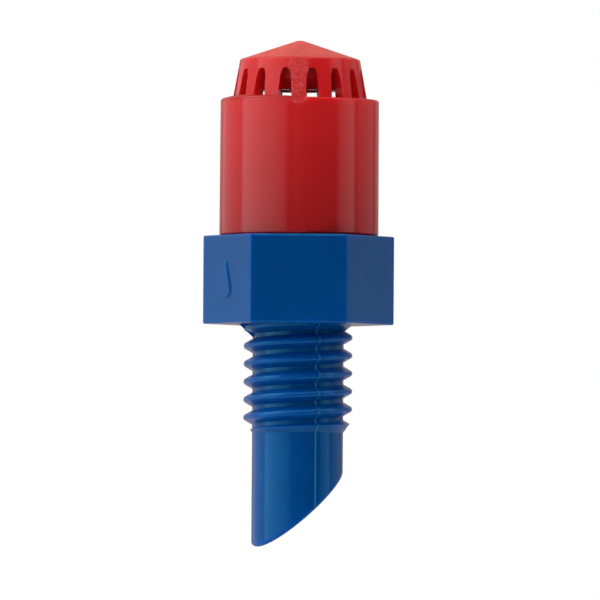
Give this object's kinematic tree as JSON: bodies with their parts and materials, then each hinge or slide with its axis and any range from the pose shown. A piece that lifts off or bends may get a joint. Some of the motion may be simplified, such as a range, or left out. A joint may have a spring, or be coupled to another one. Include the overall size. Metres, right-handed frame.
{
  "type": "drip emitter",
  "caption": "Threaded micro-irrigation emitter with a hexagon, a slanted piercing inlet and a slotted screw cap that spreads the outlet water sideways.",
  "frame": {"origin": "on the stem's axis, at the underside of the hexagon", "axes": "+Z along the axis toward the outlet cap, -Y out of the front flat of the hexagon, +X to the right"},
  "size_m": [0.0084, 0.0074, 0.0225],
  "materials": {
    "blue_plastic": "satin moulded",
    "red_plastic": "satin moulded",
    "white_plastic": "moulded",
    "black_plastic": "moulded",
    "silicone": "matte",
    "seal_rubber": "matte"
  },
  "bodies": {
    "base": {"base_body": "blue_plastic", "inlet_strainer": "white_plastic", "labyrinth_plug": "black_plastic", "outlet_nozzle": "white_plastic"},
    "diaphragm": {"flow_diaphragm": "silicone"},
    "seal": {"seal_ring": "seal_rubber"},
    "cap": {"outlet_cap": "red_plastic"}
  },
  "joints": [
    {"name": "cap_rise", "type": "slide", "parent": "base", "child": "seal", "axis": [0, 0, 1], "range_m": [0, 0.002]},
    {"name": "cap_turn", "type": "hinge", "parent": "seal", "child": "cap", "pos_m": [0, 0, 0.004], "axis": [0, 0, 1], "range_deg": [0, 720.1]},
    {"name": "diaphragm_float", "type": "slide", "parent": "base", "child": "diaphragm", "axis": [0, 0, 1], "range_m": [0, 0.0001]}
  ],
  "couplings": [
    {"joint": "cap_turn", "follows": "cap_rise", "rad_per_m": 6283.2}
  ]
}
